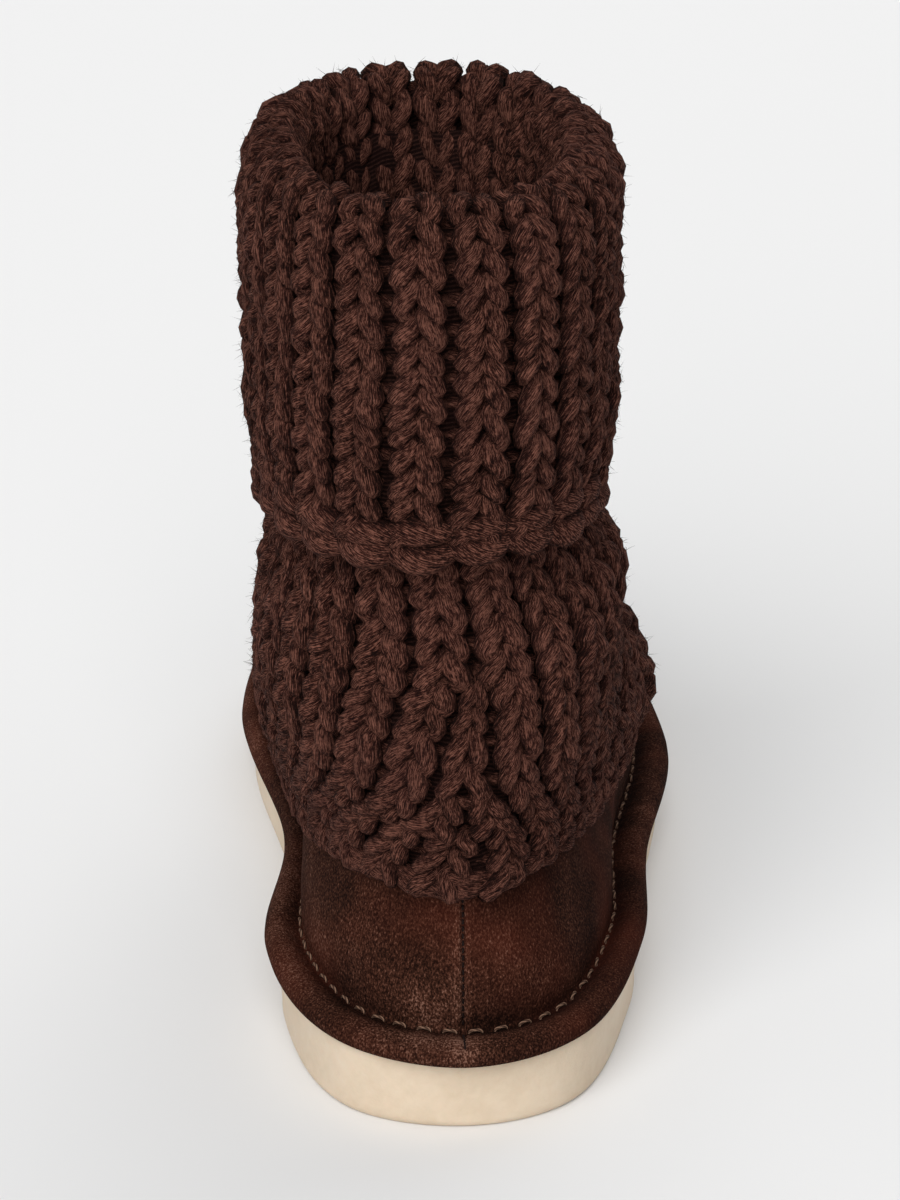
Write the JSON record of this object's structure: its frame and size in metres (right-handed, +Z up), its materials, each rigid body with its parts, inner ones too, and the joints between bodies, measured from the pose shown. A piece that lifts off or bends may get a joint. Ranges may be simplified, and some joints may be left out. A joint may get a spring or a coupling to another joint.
{
  "type": "mukluk boot",
  "caption": "Winter boot for the right foot: suede lower with a turned-out stitched edge, crepe sole, and a chunky rib-knit shaft with a turned-down cuff.",
  "frame": {"origin": "on the floor under the middle of the boot's bounding box", "axes": "+Z up from the sole to the collar, the toe points to -Y and the heel to +Y, the outer side of the foot is at -X"},
  "size_m": [0.1042, 0.277, 0.2036],
  "materials": {
    "crepe": "matte, faintly mottled crepe",
    "pile": "short curled pile",
    "suede": "brushed suede with a short nap",
    "knit": "plied wool yarn, slightly fuzzy"
  },
  "bodies": {
    "root": {"outsole": "crepe", "insole": "pile", "upper": "suede", "knit_shaft": "knit"}
  },
  "joints": []
}
